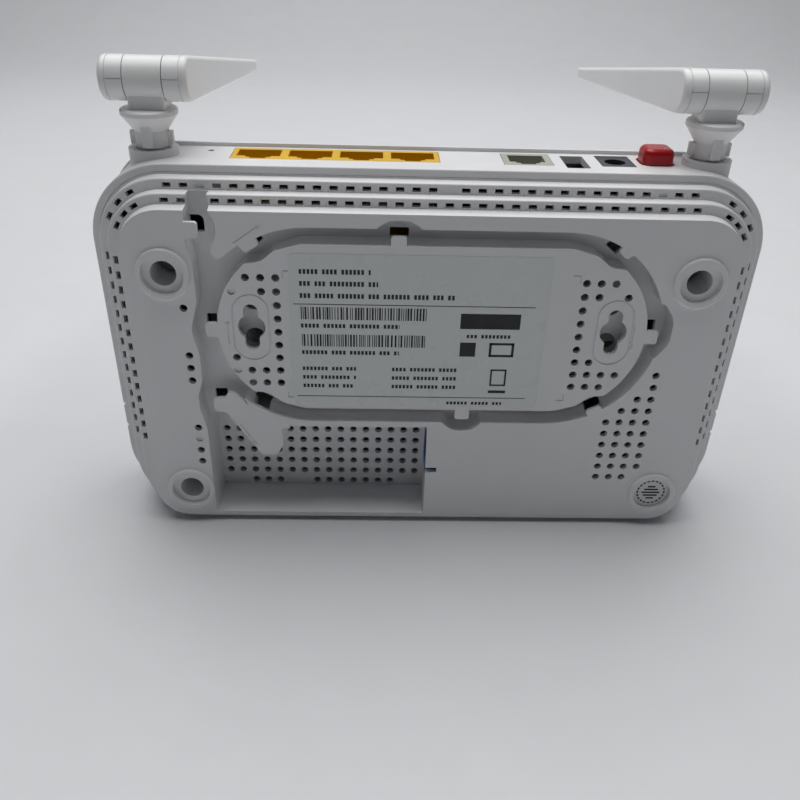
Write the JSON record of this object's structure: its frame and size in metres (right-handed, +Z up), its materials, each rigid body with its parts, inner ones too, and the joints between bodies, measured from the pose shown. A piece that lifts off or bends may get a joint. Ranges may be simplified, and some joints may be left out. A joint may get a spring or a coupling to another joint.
{
  "type": "optical network terminal",
  "caption": "Flat upright fibre gateway with a port panel, routing ring and fibre compartment on its underside, and folding antennas.",
  "frame": {"origin": "middle of the flat lower edge the housing stands on", "axes": "+Z up towards the port panel, -Y out of the underside, +X right when the underside is seen"},
  "size_m": [0.184, 0.1446, 0.1336],
  "materials": {
    "case_plastic": "satin white moulded plastic",
    "antenna_plastic": "smooth white moulded plastic",
    "yellow_plastic": "moulded connector plastic",
    "grey_plastic": "moulded connector plastic",
    "black_plastic": "moulded connector plastic",
    "contact_gold": "gold plated",
    "port_steel": "tinned sheet",
    "screw_steel": "zinc plated",
    "red_plastic": "glossy",
    "blue_plastic": "moulded",
    "ceramic": "ground ceramic",
    "light_plastic": "translucent",
    "label": "printed film",
    "board_green": "solder mask",
    "chip_black": "moulded",
    "capacitor_can": "sleeved",
    "heatsink_aluminium": "extruded"
  },
  "bodies": {
    "housing": {"top_cover": "case_plastic", "bottom_case": "case_plastic", "label_sticker": "label", "seal_sticker": "label", "case_screws": "screw_steel", "lan_jack_block": "yellow_plastic", "lan_contacts": "contact_gold", "phone_jack": "grey_plastic", "phone_contacts": "contact_gold", "usb_shell": "port_steel", "usb_tongue": "black_plastic", "power_jack": "black_plastic", "power_jack_pin": "contact_gold", "power_switch": "black_plastic", "reset_switch": "port_steel", "optical_adapter": "blue_plastic", "optical_sleeve": "ceramic", "optical_transceiver": "port_steel", "main_board": "board_green", "board_screws": "screw_steel", "soc_chip": "chip_black", "rf_shield_left": "port_steel", "rf_shield_right": "port_steel", "memory_chips": "chip_black", "lan_transformers": "chip_black", "capacitors": "capacitor_can", "inductors": "chip_black", "status_leds": "light_plastic", "heatsink": "heatsink_aluminium", "light_pipe": "light_plastic"},
    "swivel_left": {"antenna_swivel_left": "antenna_plastic", "lock_ring_left": "port_steel", "hinge_pin_left": "port_steel"},
    "blade_left": {"antenna_shell_left": "antenna_plastic", "antenna_cover_left": "antenna_plastic", "antenna_radiator_left": "board_green"},
    "swivel_right": {"antenna_swivel_right": "antenna_plastic", "lock_ring_right": "port_steel", "hinge_pin_right": "port_steel"},
    "blade_right": {"antenna_shell_right": "antenna_plastic", "antenna_cover_right": "antenna_plastic", "antenna_radiator_right": "board_green"},
    "power_button": {"power_button": "red_plastic", "power_plunger": "light_plastic"},
    "reset_plunger": {"reset_plunger": "black_plastic"}
  },
  "joints": [
    {"name": "antenna_swivel_left", "type": "hinge", "parent": "housing", "child": "swivel_left", "pos_m": [-0.0753, 0.0052, 0.1108], "axis": [0, 0, 1], "range_deg": [-30, 120]},
    {"name": "antenna_fold_left", "type": "hinge", "parent": "swivel_left", "child": "blade_left", "pos_m": [-0.0747, 0.0052, 0.128], "axis": [1, 0, 0], "range_deg": [0, 96.8]},
    {"name": "antenna_swivel_right", "type": "hinge", "parent": "housing", "child": "swivel_right", "pos_m": [0.0753, 0.0052, 0.1108], "axis": [0, 0, -1], "range_deg": [-30, 120]},
    {"name": "antenna_fold_right", "type": "hinge", "parent": "swivel_right", "child": "blade_right", "pos_m": [0.0747, 0.0052, 0.128], "axis": [1, 0, 0], "range_deg": [0, 96.8]},
    {"name": "power_press", "type": "slide", "parent": "housing", "child": "power_button", "axis": [0, 0, -1], "range_m": [0, 0.0025], "stiffness_N_per_m": 400, "springref_m": -0.001},
    {"name": "reset_press", "type": "slide", "parent": "housing", "child": "reset_plunger", "axis": [0, 0, -1], "range_m": [0, 0.0005], "stiffness_N_per_m": 400, "springref_m": -0.001}
  ]
}
